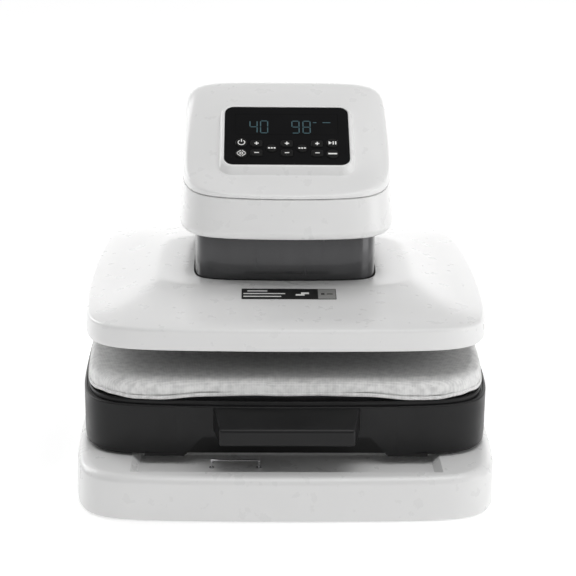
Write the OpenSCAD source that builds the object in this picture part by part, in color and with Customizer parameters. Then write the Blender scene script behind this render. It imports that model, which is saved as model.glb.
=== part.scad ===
// Drawer-type automatic heat press: a slide-out lower platen under a motor-driven hot platen.
// Front faces -Y, +Z is up, the origin lies under the middle of the base on the floor.

/* [Platens] */
// Side length of the square heating plate
platen_w = 381; // [360:1:400]
// How far the hot platen travels down onto the pad
press_travel = 28; // [20:1:28]
// Height of the heating plate's underside with the press open
gap_top_z = 155; // [153:1:158]
// Height of the cloth covered pad's top
pad_top_z = 125.8; // [124:0.1:127]

/* [Base] */
// Width of the base shell at its widest
base_w = 422; // [416:1:426]
// Depth of the base shell, front to back
base_d = 530; // [526:1:540]
// Height of the base shell's top face
base_top = 45; // [43:1:46]

/* [Drawer] */
// How far the drawer pulls out
drawer_travel = 340; // [250:5:340]
// Height of the drawer's top rim
drawer_rim_z = 103; // [102:0.5:104]
// Width of the handle where it meets the drawer
handle_w = 144; // [120:2:160]

/* [Head] */
// Width of the head at the bottom of its wall
head_w = 223; // [215:1:230]
// Height of the highest point of the head
crest_z = 372; // [368:1:378]
// Slope of the control panel, degrees from level
panel_tilt = 31.9; // [28:0.1:34]
// Width of the moving neck
neck_w = 188; // [170:1:190]

/* [Drive] */
// Module of the spur gears
gear_module = 1.5; // [1.5:0.5:1.5]
// Teeth on the screw's gear
gear_teeth = 48; // [48:1:48]
// Teeth on the motor's pinion
pinion_teeth = 16; // [16:1:16]

/* [Hidden] */
$fn = 48;

wall = 3;
slack = 0.3;                       // air between neighbouring parts of different bodies
ring_n = 72;                       // points round a shell outline
platen_y = -10;                    // the platens stand a little forward of the base's middle
cover_half = platen_w / 2 + 14.5;
cover_bow = [9.7, 6.6];            // how far the cover's sides curve inward towards the corners
base_bow = [5.1, 5.8];
column_front = base_d / 2 - 55;
column_back = base_d / 2 - 11;
column_half = 103;
inlet_x = 82;
switch_x = 82;
plate_h = 12;
plate_top = gap_top_z + plate_h;
cover_z = gap_top_z + 1;           // lower edge of the platen cover
plateau_z = gap_top_z + 36;        // flat middle of the platen cover
skirt_z = 247;                     // underside of the head
dome_square = 6;                   // how square the domed top is in section
arm_z = 292;                       // underside of the head arm's web
arm_web = 8;
arm_half = 60;
arm_top = 322;
rail_x = 150;                      // inner face of the fixed rail's web
rail_len = drawer_travel + 40;
tray_z = base_top + 3;
tray_half = platen_w / 2 + 13.5;
panel_size = [125, 83];
panel_pos = [0, platen_y - 65, 337.4];
key_pitch = 15.2;
key_row = -19.3;                   // middle line of the keys, measured from the panel's middle
gear_distance = gear_module * (gear_teeth + pinion_teeth) / 2;
base_screws = [for (x = [-175, 175], y = [-205, 0, 205]) [x, y]];
white = [0.93, 0.93, 0.93];
charcoal = [0.16, 0.16, 0.17];
gunmetal = [0.26, 0.26, 0.27];
steel = [0.62, 0.63, 0.65];
zinc = [0.75, 0.76, 0.78];

// ---- outlines and lofts ----

// Bunches the directions of an outline's points towards its corners
function bunch(v) = v * (0.42 + 0.58 * v * v);
function direction(i) =
    let (quarter = ring_n / 4, q = floor(i / quarter), u = (i - q * quarter) / quarter)
    90 * q + 45 + 45 * bunch(2 * u - 1);

// Rounded rectangle of half sizes a and b with gently bowed sides; p sets how square it is
function bowed(a, b, bow, p) = [
    for (i = [0 : ring_n - 1])
        let (t = direction(i),
             r = pow(pow(abs(cos(t)) / a, p) + pow(abs(sin(t)) / b, p), -1 / p),
             x = r * cos(t),
             y = r * sin(t))
        [x - sign(x) * bow[0] * pow(y / b, 2), y - sign(y) * bow[1] * pow(x / a, 2)]
];

// Rectangle w by h with corner arcs of radius r
function round_rect(w, h, r, steps = 6) = [
    for (corner = [0 : 3], k = [0 : steps])
        let (t = 90 * corner + 90 * k / steps,
             sx = (corner == 0 || corner == 3) ? 1 : -1,
             sy = corner < 2 ? 1 : -1)
        [sx * (w / 2 - r) + r * cos(t), sy * (h / 2 - r) + r * sin(t)]
];

// Lifts an outline to height z with its middle at y = cy
function at(outline, cy, z) = [for (q = outline) [q[0], q[1] + cy, z]];

// Skin through a list of rings: capped at both ends, or joined round when closed
module loft(rings, closed = false) {
    n = len(rings[0]);
    last = len(rings) - 1;
    bands = closed ? last : last - 1;
    sides = [
        for (k = [0 : bands], i = [0 : n - 1])
            let (m = (k + 1) % (last + 1), j = (i + 1) % n)
            each [[k * n + i, m * n + i, m * n + j], [k * n + i, m * n + j, k * n + j]]
    ];
    caps = closed ? [] : [
        [for (i = [0 : n - 1]) i],
        [for (i = [n - 1 : -1 : 0]) last * n + i]
    ];
    polyhedron(points = [for (ring = rings) each ring], faces = concat(sides, caps));
}

module slab(outline, z, h) {
    translate([0, 0, z]) linear_extrude(h) polygon(outline);
}

module block(lo, hi) {
    translate(lo) cube(hi - lo);
}

module both_sides() {
    children();
    mirror([1, 0, 0]) children();
}

// ---- base ----

function base_ring(inset, z) =
    at(bowed(base_w / 2 - inset, base_d / 2 - inset, base_bow, 9.9), 0, z);

module recess_prism() {
    // sloping sides, cut into the shelf in front of the drawer
    translate([0, -base_d / 2 + 78, 0]) rotate([90, 0, 0]) linear_extrude(60)
        polygon([[-144, base_top - 7], [144, base_top - 7], [152, base_top + 1], [-152, base_top + 1]]);
}

module base_shell() {
    color(white) difference() {
        union() {
            loft([base_ring(10, base_top - wall), base_ring(wall, base_top - 9), base_ring(wall + 1, 1),
                base_ring(1.2, 1), base_ring(0, 3), base_ring(0, base_top - 9),
                base_ring(2.2, base_top - 3.5), base_ring(6, base_top - 0.7), base_ring(10, base_top)]);
            block([-158, -base_d / 2 + 10, base_top - 12], [158, -base_d / 2 + 84, base_top - 1.5]);
            for (s = base_screws) translate([s[0], s[1], 6.1]) cylinder(r = 5, h = base_top - 7.5);
        }
        recess_prism();
        block([4 - column_half, column_front + 4, base_top - 10],
            [column_half - 4, column_back - 4, base_top + 5]);
        for (s = base_screws) translate([s[0], s[1], 5]) cylinder(r = 1.8, h = 22);
    }
}

module base_plate() {
    color(zinc) difference() {
        slab(bowed(base_w / 2 - 5, base_d / 2 - 5, base_bow, 9.9), 4, 2);
        for (s = base_screws) translate([s[0], s[1], 3]) cylinder(r = 2.2, h = 4);
        for (x = [-1 : 1], k = [0 : 11])
            block([x * 90 - 25, 20 + k * 10, 3], [x * 90 + 25, 24 + k * 10, 7]);
    }
}

module rubber_feet() {
    color([0.08, 0.08, 0.08]) for (x = [-160, 160], y = [-228, 228])
        translate([x, y, 0]) cylinder(r1 = 12, r2 = 14, h = 4);
}

module case_screws() {
    color(steel) for (s = base_screws) translate([s[0], s[1], 0]) {
        translate([0, 0, 1.6]) cylinder(r = 3.6, h = 2.4);
        translate([0, 0, 4]) cylinder(r = 1.75, h = 20);
    }
}

// ---- frame ----

module spine_frame() {
    color(steel) {
        both_sides() {
            block([arm_half, column_front + 7, 6], [arm_half + 6, column_back - 9, arm_top]);
            block([arm_half + 6, column_front + 7, 6], [arm_half + 34, column_back - 9, 11]);
        }
        for (z = [6, 200])
            block([-arm_half, column_front + 7, z], [arm_half, column_front + 11, z + 50]);
    }
}

module head_arm() {
    color(steel) difference() {
        union() {
            block([-arm_half, platen_y - 60, arm_z], [arm_half, column_back - 9, arm_z + arm_web]);
            both_sides() block([arm_half - 4, platen_y - 60, arm_z], [arm_half, column_back - 9, arm_top]);
        }
        translate([0, platen_y, arm_z - 1]) cylinder(r = 9, h = arm_web + 2);
        for (x = [-48, 48]) translate([x, platen_y, arm_z - 1]) cylinder(r = 7.5, h = arm_web + 2);
        for (y = [95, 150]) translate([0, platen_y + y, arm_z - 1]) cylinder(r = 18, h = arm_web + 2);
    }
}

module guide_bushes() {
    color([0.72, 0.58, 0.28]) for (x = [-48, 48]) translate([x, platen_y, 0]) difference() {
        union() {
            translate([0, 0, arm_z - 8]) cylinder(r = 7.5, h = 20);
            translate([0, 0, arm_z - 3]) cylinder(r = 10, h = 3);
        }
        translate([0, 0, arm_z - 9]) cylinder(r = 5.05, h = 22);
    }
}

module screw_bearings() {
    color(zinc) translate([0, platen_y, 0]) for (z = [arm_z - 6, arm_z + arm_web]) difference() {
        translate([0, 0, z]) cylinder(r = 16, h = 6);
        translate([0, 0, z - 1]) cylinder(r = 8.05, h = 8);
    }
}

module motor_bracket() {
    color(zinc) translate([0, platen_y + gear_distance, 0]) difference() {
        union() {
            block([-arm_half, -22, arm_top], [arm_half, 26, arm_top + 3]);
            both_sides() block([arm_half - 7, -22, arm_top - 14], [arm_half - 4, 26, arm_top]);
        }
        translate([0, 0, arm_top - 1]) cylinder(r = 8, h = 5);
    }
}

module gear_motor() {
    color([0.45, 0.46, 0.48]) translate([0, platen_y + gear_distance, 0]) difference() {
        union() {
            translate([0, 0, arm_top - 1]) cylinder(r = 7.5, h = 5);
            translate([0, 0, arm_top + 3]) cylinder(r = 18.5, h = 16);
            translate([0, 0, arm_top + 19]) cylinder(r = 15, h = 18);
            translate([0, 0, arm_top + 37]) cylinder(r = 5, h = 2);
        }
        translate([0, 0, arm_top - 2]) cylinder(r = 3.05, h = 11);
    }
}

module drawer_sensor() {
    color([0.1, 0.1, 0.1]) {
        block([-10, column_front - 13, base_top], [10, column_front - 7, base_top + 12]);
        block([-2, column_front - 14.2, base_top + 7], [2, column_front - 13, base_top + 10]);
    }
}

module latch_wire() {
    floor_z = base_top - 7;
    color(zinc) translate([0, -base_d / 2 + 45, 0]) {
        for (x = [-73, -27]) translate([x, 0, floor_z]) cylinder(r = 0.9, h = 8);
        for (x = [-73, -27]) translate([x, 0, floor_z]) cylinder(r = 2.4, h = 1);
        translate([-73.9, 0, floor_z + 8]) rotate([0, 90, 0]) cylinder(r = 0.9, h = 47.8);
    }
}

// ---- slides ----

// C section with its back at x = 0 and its lips towards +X
module channel(z0, z1, depth, thick = 1.5) {
    block([0, -rail_len / 2, z0], [thick, rail_len / 2, z1]);
    block([0, -rail_len / 2, z0], [depth, rail_len / 2, z0 + thick]);
    block([0, -rail_len / 2, z1 - thick], [depth, rail_len / 2, z1]);
}

module outer_rails() {
    color(zinc) both_sides() translate([rail_x, 0, 0]) {
        channel(base_top + 7, base_top + 43, 9.5);
        block([0, -rail_len / 2, base_top], [1.5, rail_len / 2, base_top + 7]);
        block([-16, -rail_len / 2, base_top], [1.5, rail_len / 2, base_top + 1.5]);
    }
}

module mid_rails() {
    color(steel) both_sides() translate([rail_x + 3, 0, 0]) channel(base_top + 10, base_top + 40, 7.5);
}

module inner_rails() {
    color(zinc) both_sides() translate([rail_x + 12.4, 0, 0]) mirror([1, 0, 0])
        channel(base_top + 13, base_top + 37, 6);
}

// ---- drawer ----

function tray_outline(inset) = bowed(tray_half + 2 - inset, tray_half - inset, [5.5, 7.6], 9.2);
function tray_ring(inset, z) = at(tray_outline(inset), platen_y, z);

module drawer_tray() {
    front = platen_y - tray_half;
    deck = drawer_rim_z - 3;
    color(charcoal) difference() {
        union() {
            loft([tray_ring(wall + 4, deck - wall), tray_ring(wall, deck - wall - 5),
                tray_ring(wall + 1, tray_z), tray_ring(1.5, tray_z), tray_ring(0, tray_z + 2),
                tray_ring(0, drawer_rim_z - 6), tray_ring(1.2, drawer_rim_z - 2),
                tray_ring(3.5, drawer_rim_z), tray_ring(7, drawer_rim_z), tray_ring(8, deck)]);
            both_sides() block([rail_x + 12.4, front + 20, tray_z + 2],
                [rail_x + 15.9, front + 2 * tray_half - 16, deck - 1]);
            block([-108, front + 2, tray_z + 1], [108, front + 16, deck - 1]);
            block([-139, front + 3.5, tray_z - 1.3], [139, front + 18, tray_z + 2]);
        }
        both_sides() block([rail_x - 6, front + 2 * tray_half - 22, tray_z - 1],
            [rail_x + 12.4, front + 2 * tray_half + 1, base_top + 46]);
        translate([0, front + 12, 0]) rotate([90, 0, 0]) linear_extrude(20)
            polygon([[-101, tray_z - 2], [101, tray_z - 2], [82, tray_z + 19.5], [-82, tray_z + 19.5]]);
    }
}

// Tapered grip, wide at the drawer and leaning down towards its front
module grip_shape(inset, drop = 0) {
    front = platen_y - tray_half;
    half = handle_w / 2 - inset;
    hull() {
        block([-half, front + 5, 74 - drop], [half, front + 6, 99 - inset]);
        block([-half, front, 73 - drop], [half, front + 1, 99 - inset]);
        block([7 - half, front - 35 + inset, 72 - drop], [half - 7, front - 34 + inset, 88.5 - inset]);
    }
}

module drawer_handle() {
    front = platen_y - tray_half;
    color(charcoal) difference() {
        union() {
            difference() {
                grip_shape(0);
                grip_shape(3.5, 20);
            }
            block([-70, front - 4, 88.5], [70, front + 5, 97]);
        }
        slab([for (q = tray_outline(0)) [q[0], q[1] + platen_y]], 60, 50);
    }
}

module lower_board() {
    color([0.55, 0.56, 0.58])
        slab([for (q = tray_outline(14)) [q[0], q[1] + platen_y]], drawer_rim_z - 3, 13);
}

function pad_ring(inset, z) =
    at(bowed(platen_w / 2 + 11 - inset, platen_w / 2 + 8.5 - inset, [5, 6], 8.2), platen_y, z);

module pad_foam() {
    z0 = drawer_rim_z + 10;
    color([0.75, 0.35, 0.3]) loft([pad_ring(2.5, z0), pad_ring(1.5, z0 + 2), pad_ring(1.5, z0 + 5),
        pad_ring(4, z0 + 9), pad_ring(9, pad_top_z - 1.3)]);
}

module pad_cover() {
    z0 = drawer_rim_z + 10;
    color([0.9, 0.9, 0.89]) loft([pad_ring(9, pad_top_z - 1.2), pad_ring(3.9, z0 + 9.1),
        pad_ring(1.4, z0 + 5), pad_ring(1.4, z0 + 2), pad_ring(2.4, z0), pad_ring(1, z0),
        pad_ring(0, z0 + 2.5), pad_ring(0, z0 + 5.5), pad_ring(3, z0 + 10.3), pad_ring(9, pad_top_z)]);
}

// ---- hot platen ----

function cover_ring(inset, z) =
    at(bowed(cover_half - inset, cover_half - inset, cover_bow, 8.9), platen_y, z);
function plateau_ring(a, b, z) = at(bowed(a, b, [3, 3], 7), platen_y, z);

module platen_cover() {
    color(white) loft([cover_ring(2.5, cover_z), cover_ring(0.6, cover_z + 1.2), cover_ring(0, cover_z + 4),
        cover_ring(0.8, cover_z + 14), cover_ring(3, cover_z + 18.5), cover_ring(8, cover_z + 21.3),
        cover_ring(22, cover_z + 23.8), plateau_ring(136, 106, plateau_z - 1.6),
        plateau_ring(127, 98, plateau_z), plateau_ring(97, 83, plateau_z),
        plateau_ring(97, 83, plateau_z - wall), plateau_ring(125, 96, plateau_z - wall),
        plateau_ring(134, 104, plateau_z - 4.6), cover_ring(23, cover_z + 20.8),
        cover_ring(6, cover_z + 16), cover_ring(3.5, cover_z + wall), cover_ring(12.5, cover_z + wall),
        cover_ring(12.5, cover_z)], closed = true);
}

module heating_plate() {
    half = platen_w / 2;
    color([0.25, 0.25, 0.26])
        slab([for (q = bowed(half, half, cover_bow, 8.9)) [q[0], q[1] + platen_y]], gap_top_z, plate_h);
}

module heating_element() {
    rows = 6;
    pitch = 52;
    reach = 120;
    color([0.5, 0.5, 0.52]) translate([0, platen_y, plate_top + 4]) {
        for (k = [0 : rows - 1]) translate([(k - (rows - 1) / 2) * pitch, 0, 0])
            rotate([90, 0, 0]) cylinder(r = 4, h = 2 * reach, center = true);
        for (k = [0 : rows - 2]) translate([(k - (rows - 2) / 2) * pitch, k % 2 == 0 ? reach : -reach, 0])
            rotate([0, 0, k % 2 == 0 ? 0 : 180])
                rotate_extrude(angle = 180) translate([pitch / 2, 0]) circle(r = 4);
    }
}

module insulation_mat() {
    color([0.85, 0.8, 0.68]) difference() {
        slab([for (q = round_rect(310, 260, 12)) [q[0], q[1] + platen_y]], plate_top + 8.2, 2);
        translate([52, platen_y - 60, plate_top + 7]) cylinder(r = 9, h = 5);
    }
}

module carrier_plate() {
    color(steel) difference() {
        slab([for (q = round_rect(184, 150, 8)) [q[0], q[1] + platen_y]], plate_top + 10.2, 5);
        translate([52, platen_y - 60, plate_top + 9]) cylinder(r = 10, h = 8);
    }
}

module thermostat() {
    color([0.2, 0.2, 0.2]) translate([52, platen_y - 60, plate_top]) {
        cylinder(r = 8, h = 14);
        for (x = [-4, 4]) block([x - 1.5, -0.4, 14], [x + 1.5, 0.4, 20]);
    }
}

module press_post() {
    color(steel) translate([0, platen_y, plate_top + 15.2]) difference() {
        union() {
            cylinder(r = 30, h = 68);
            cylinder(r = 42, h = 5);
        }
        translate([0, 0, -1]) cylinder(r = 14, h = 70);
    }
}

module screw_nut() {
    top = plate_top + 83.2;
    color([0.72, 0.58, 0.28]) translate([0, platen_y, 0]) difference() {
        union() {
            translate([0, 0, top]) cylinder(r = 24, h = 6);
            translate([0, 0, top - 24]) cylinder(r = 14, h = 24);
        }
        translate([0, 0, top - 25]) cylinder(r = 8.05, h = 32);
    }
}

module guide_rods() {
    color(zinc) for (x = [-48, 48]) translate([x, platen_y, plate_top + 15.2]) cylinder(r = 5, h = 152);
}

module neck_shroud() {
    height = skirt_z + press_travel + 11 - (plateau_z - wall);
    color(gunmetal) translate([0, platen_y, plateau_z - wall]) linear_extrude(height) difference() {
        polygon(bowed(neck_w / 2, 80, [1, 5], 8));
        polygon(bowed(neck_w / 2 - 2, 78, [1, 5], 8));
    }
}

// The slope in front of the plateau falls as much as its two neighbouring outline rings do
label_size = [95, 22];
slope_fall = atan(9.6 / 77);

module label_plate() {
    color([0.06, 0.06, 0.06]) translate([2.7, platen_y - 106, plateau_z - 1.5]) rotate([slope_fall, 0, 0])
        block([-label_size[0] / 2, -label_size[1] - 1, 0], [label_size[0] / 2, -1, 0.4]);
}

// ---- drive ----

// Involute flank point at radius r of a gear with base radius rb
function involute_angle(r, rb) = let (a = acos(rb / r)) tan(a) * 180 / PI - a;
function tooth_half(r, teeth, backlash) =
    let (rp = gear_module * teeth / 2, rb = rp * cos(20))
    90 / teeth - backlash / rp * 28.65 + involute_angle(rp, rb) - involute_angle(max(r, rb), rb);

module gear_outline(teeth, backlash = 0.12) {
    rp = gear_module * teeth / 2;
    rb = rp * cos(20);
    root = rp - 1.25 * gear_module;
    tip = rp + 0.95 * gear_module;
    levels = [root, max(rb, root + 0.2), rp, (rp + tip) / 2, tip];
    polygon([
        for (k = [0 : teeth - 1])
            each concat(
                [for (r = levels) let (t = 360 * k / teeth - tooth_half(r, teeth, backlash))
                    [r * cos(t), r * sin(t)]],
                [for (j = [4 : -1 : 0]) let (r = levels[j], t = 360 * k / teeth + tooth_half(r, teeth, backlash))
                    [r * cos(t), r * sin(t)]])
    ]);
}

module lead_screw() {
    color(steel) translate([0, platen_y, 0]) {
        translate([0, 0, 212]) cylinder(r = 8, h = 110);
        translate([0, 0, arm_z - 11]) cylinder(r = 13, h = 4.7);
    }
}

module drive_gear() {
    color([0.85, 0.83, 0.76]) translate([0, platen_y, arm_z + 17]) difference() {
        linear_extrude(8) gear_outline(gear_teeth);
        translate([0, 0, -1]) cylinder(r = 8, h = 10);
    }
}

module motor_pinion() {
    color(steel) translate([0, platen_y + gear_distance, arm_z + 16]) {
        rotate([0, 0, 180 / pinion_teeth - 90]) linear_extrude(10) gear_outline(pinion_teeth);
        cylinder(r = 3, h = 18);
    }
}

// ---- rear column ----

module column_cover() {
    color(white) difference() {
        slab(column_outline(0), base_top, skirt_z - base_top);
        slab(column_outline(wall), base_top - 1, skirt_z - base_top + 2);
        block([5 - column_half, column_back - 8, base_top + 5],
            [column_half - 5, column_back + 5, skirt_z - 7]);
    }
}

function column_outline(inset) =
    let (w = 2 * (column_half - inset), d = column_back - column_front - 2 * inset)
    [for (q = round_rect(w, d, 12 - inset)) [q[0], q[1] + (column_front + column_back) / 2]];

module rear_panel() {
    color(charcoal) difference() {
        block([5.5 - column_half, column_back - wall, base_top + 5.5],
            [column_half - 5.5, column_back, skirt_z - 7.5]);
        for (x = [-1, 1], k = [0 : 11])
            block([x * 28 - 20, column_back - 5, 130 + k * 8], [x * 28 + 20, column_back + 1, 133 + k * 8]);
        block([-inlet_x - 14, column_back - 5, 78], [14 - inlet_x, column_back + 1, 99]);
        block([switch_x - 8, column_back - 5, 78], [switch_x + 8, column_back + 1, 99]);
    }
}

// Three-pin mains inlet: a socket with blades, snapped into the rear panel
module power_inlet() {
    color([0.1, 0.1, 0.1]) translate([-inlet_x, column_back, 88.5]) difference() {
        union() {
            block([-13.8, -22, -10.3], [13.8, 0, 10.3]);
            block([-15.5, 0, -13.5], [15.5, 2.5, 13.5]);
        }
        block([-11.5, -16, -8], [11.5, 3, 8]);
    }
    color(steel) translate([-inlet_x, column_back - 17, 88.5]) for (k = [-1 : 1])
        block([7 * k - 1, 0, k == 0 ? 0 : -4.5], [7 * k + 1, 12, k == 0 ? 5 : 0.5]);
}

module switch_body() {
    color([0.1, 0.1, 0.1]) translate([switch_x, column_back, 88.5]) {
        difference() {
            union() {
                block([-7.8, -18, -10.3], [7.8, 0, 10.3]);
                block([-10, 0, -12.5], [10, 2, 12.5]);
            }
            block([-6, -9, -8.5], [6, 3, 8.5]);
        }
        translate([-6.4, 0, 0]) rotate([0, 90, 0]) cylinder(r = 1.2, h = 12.8);
    }
}

module power_rocker() {
    color([0.75, 0.1, 0.08]) translate([switch_x - 5.5, column_back, 88.5]) rotate([0, 90, 0])
        difference() {
            linear_extrude(11)
                polygon([[-7.2, 4.6], [-7, 0], [-2, -4.5], [2, -4.5], [7, -0.8], [7.2, 2.6], [0, 2.4]]);
            translate([0, 0, -1]) cylinder(r = 1.25, h = 13);
        }
}

// ---- head ----

head_front_reach = 138;            // from the platens' middle to the front of the head
head_back = base_d / 2 - 3;
head_y = (head_back + platen_y - head_front_reach) / 2;
head_half_d = (head_back - platen_y + head_front_reach) / 2;
seam_front_z = 288;

function soft_min(a, b, k) = (a + b - sqrt(pow(a - b, 2) + k * k)) / 2;
function soft_max(a, b, k) = (a + b + sqrt(pow(a - b, 2) + k * k)) / 2;

// The head's back falls away evenly; lift sets how far above the seam's back end a line lies
function back_fall(y, lift) = crest_z - 5 + lift - 0.2 * (y - platen_y - 60);
function seam_z(y) =
    soft_min(seam_front_z + 0.17 * (y - platen_y + head_front_reach), back_fall(y, 0), 6);

// Middle line of the domed top: a gentle front, a steeper stretch under the panel, then the fall
function crest_line(y) =
    let (d = y - platen_y + 100, foot = seam_front_z + 21.5)
    soft_min(soft_max(foot + 0.48 * d, foot + 0.68 * d, 4), back_fall(y, 7), 16);

function head_outline(inset) = bowed(head_w / 2 - inset, head_half_d - inset, [1.3, 10.7], 7.9);
function head_ring(inset, z) = at(head_outline(inset), head_y, z);
function seam_ring(inset, lift) = [
    for (q = head_outline(inset)) [q[0], q[1] + head_y, seam_z(q[1] + head_y) + lift]
];

// A ring of the domed top: s runs from 1 at the seam to 0 at the middle
function dome_ring(inset, s, lift) = [
    for (q = head_outline(inset))
        let (y = q[1] * s + head_y, low = seam_z(y), high = max(crest_line(y), low))
        [q[0] * s, y, low + (high - low) * pow(1 - pow(s, dome_square), 1 / dome_square) + lift]
];

module head_skirt() {
    color(white) difference() {
        loft([head_ring(11, skirt_z), head_ring(5.5, skirt_z + 1.2), head_ring(1.5, skirt_z + 4.5),
            head_ring(0, skirt_z + 11), seam_ring(4.5, -0.3), seam_ring(4.5 + wall, -0.3),
            head_ring(wall, skirt_z + 12), head_ring(9, skirt_z + wall)]);
        slab([for (q = bowed(neck_w / 2 + 2.5, 82.5, [1, 5], 8)) [q[0], q[1] + platen_y]], skirt_z - 1, 6);
        block([4 - column_half, column_front + 4, skirt_z - 1],
            [column_half - 4, column_back - 5, skirt_z + 6]);
    }
}

module on_panel() {
    translate(panel_pos) rotate([panel_tilt, 0, 0]) children();
}

module head_cover() {
    inside = [0.06, 0.3, 0.5, 0.7, 0.85, 0.94, 0.985, 1];
    outside = [1, 0.99, 0.96, 0.91, 0.83, 0.72, 0.58, 0.42, 0.25, 0.06];
    color(white) difference() {
        loft(concat(
            [for (s = inside) dome_ring(4.5 + wall, s, 0.3 - (s == 1 ? 0 : wall * (1 - pow(s, 12))))],
            [for (s = outside) dome_ring(4.5, s, 0.3)]));
        on_panel() translate([0, 0, -16]) linear_extrude(40)
            polygon(round_rect(panel_size[0] + 0.4, panel_size[1] + 0.4, 9.2));
    }
}

// ---- control panel ----

function key_spot(column, row) = [column * key_pitch, key_row + row];
pair_row = 6.7;
end_row = 7.7;
pair_size = [12.4, 9.6];

module key_shape(round_r, grow) {
    if (round_r > 0) circle(r = round_r + grow);
    else polygon(round_rect(pair_size[0] + 2 * grow, pair_size[1] + 2 * grow, 2.8 + grow));
}

module at_keys(grow) {
    for (row = [-end_row, end_row], column = [-3, 3])
        translate(key_spot(column, row)) key_shape(6.3, grow);
    for (column = [-1, 1]) translate(key_spot(column, 0)) key_shape(5.4, grow);
    for (row = [-pair_row, pair_row], column = [-2, 0, 2])
        translate(key_spot(column, row)) key_shape(0, grow);
}

module panel_bezel() {
    color([0.05, 0.05, 0.055]) on_panel() difference() {
        union() {
            translate([0, 0, -3]) linear_extrude(5) polygon(round_rect(panel_size[0], panel_size[1], 9));
            translate([0, 0, -10]) linear_extrude(8) difference() {
                polygon(round_rect(panel_size[0], panel_size[1], 9));
                polygon(round_rect(panel_size[0] - 4, panel_size[1] - 4, 7));
            }
        }
        translate([0, 0, -4]) linear_extrude(8) at_keys(slack);
        block([-52, 1, 0.6], [52, 31, 4]);
        block([-46, 4, -4], [46, 28, 4]);
    }
}

module display_lens() {
    color([0.03, 0.05, 0.06, 0.9]) on_panel() block([-51.8, 1.2, 0.6], [51.8, 30.8, 2]);
}

module display_module() {
    color([0.12, 0.2, 0.2]) on_panel() block([-45, 5, -8], [45, 27, 0.4]);
}

module control_board() {
    color([0.1, 0.3, 0.18]) on_panel() block([-59, -37, -13.6], [59, 37, -12]);
}

module key_switches() {
    color([0.3, 0.3, 0.3]) on_panel() {
        for (row = [-end_row, end_row], column = [-3, 3]) tact_switch(column, row);
        for (column = [-1, 1]) tact_switch(column, 0);
        for (row = [-pair_row, pair_row], column = [-2, 0, 2]) tact_switch(column, row);
    }
}

module tact_switch(column, row) {
    translate([key_spot(column, row)[0], key_spot(column, row)[1], -12]) {
        block([-3, -3, 0], [3, 3, 2.4]);
        cylinder(r = 1.7, h = 3);
    }
}

// One key: cap above the bezel, a collar that keeps it in, and a stem over its switch
module key(column, row, round_r = 0) {
    color([0.12, 0.12, 0.13]) on_panel() translate(key_spot(column, row)) {
        translate([0, 0, -3.4]) linear_extrude(6.6) key_shape(round_r, 0);
        translate([0, 0, -4.8]) linear_extrude(1.5) key_shape(round_r, 0.8);
        translate([0, 0, -7.8]) cylinder(r = 1.8, h = 3.2);
    }
}

module power_button() { key(-3, end_row, 6.3); }
module settings_button() { key(-3, -end_row, 6.3); }
module temp_up_button() { key(-2, pair_row); }
module temp_down_button() { key(-2, -pair_row); }
module mode_button() { key(-1, 0, 5.4); }
module time_up_button() { key(0, pair_row); }
module time_down_button() { key(0, -pair_row); }
module unit_button() { key(1, 0, 5.4); }
module level_up_button() { key(2, pair_row); }
module level_down_button() { key(2, -pair_row); }
module start_button() { key(3, end_row, 6.3); }
module auto_button() { key(3, -end_row, 6.3); }

// ---- electronics in the base ----

module power_board() {
    color([0.1, 0.3, 0.18]) block([-70, 40, 12], [50, 130, 13.6]);
    color([0.2, 0.2, 0.2]) {
        block([-60, 50, 13.6], [-25, 80, 38]);
        block([-10, 60, 13.6], [20, 84, 30]);
        for (k = [0 : 2]) translate([-50 + k * 20, 108, 13.6]) cylinder(r = 7, h = 20);
    }
    color(zinc) for (x = [-64, 44], y = [46, 124]) translate([x, y, 6]) cylinder(r = 3, h = 6);
}

module heater_relay() {
    color([0.12, 0.12, 0.13]) block([80, 60, 9], [124, 118, 34]);
    color(zinc) block([76, 54, 6], [128, 124, 9]);
}

base_shell();
base_plate();
rubber_feet();
outer_rails();
spine_frame();
head_arm();
guide_bushes();
screw_bearings();
motor_bracket();
gear_motor();
column_cover();
rear_panel();
power_inlet();
switch_body();
head_skirt();
head_cover();
panel_bezel();
display_lens();
display_module();
control_board();
key_switches();
power_board();
heater_relay();
latch_wire();
drawer_sensor();
case_screws();
platen_cover();
heating_plate();
heating_element();
insulation_mat();
carrier_plate();
press_post();
screw_nut();
guide_rods();
neck_shroud();
label_plate();
thermostat();
lead_screw();
drive_gear();
motor_pinion();
drawer_tray();
drawer_handle();
inner_rails();
mid_rails();
lower_board();
pad_foam();
pad_cover();
power_rocker();
power_button();
settings_button();
temp_up_button();
temp_down_button();
mode_button();
time_up_button();
time_down_button();
unit_button();
level_up_button();
level_down_button();
start_button();
auto_button();
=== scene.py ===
"""Looks of the drawer-type heat press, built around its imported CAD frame.

Metres, +Z up, the front faces -Y. Shells are skins over rounded outlines, as in the design.
"""

import math

import bmesh
import bpy
import numpy as np
from mathutils import Matrix, Vector, noise as smooth_noise
from mathutils.bvhtree import BVHTree


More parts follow.
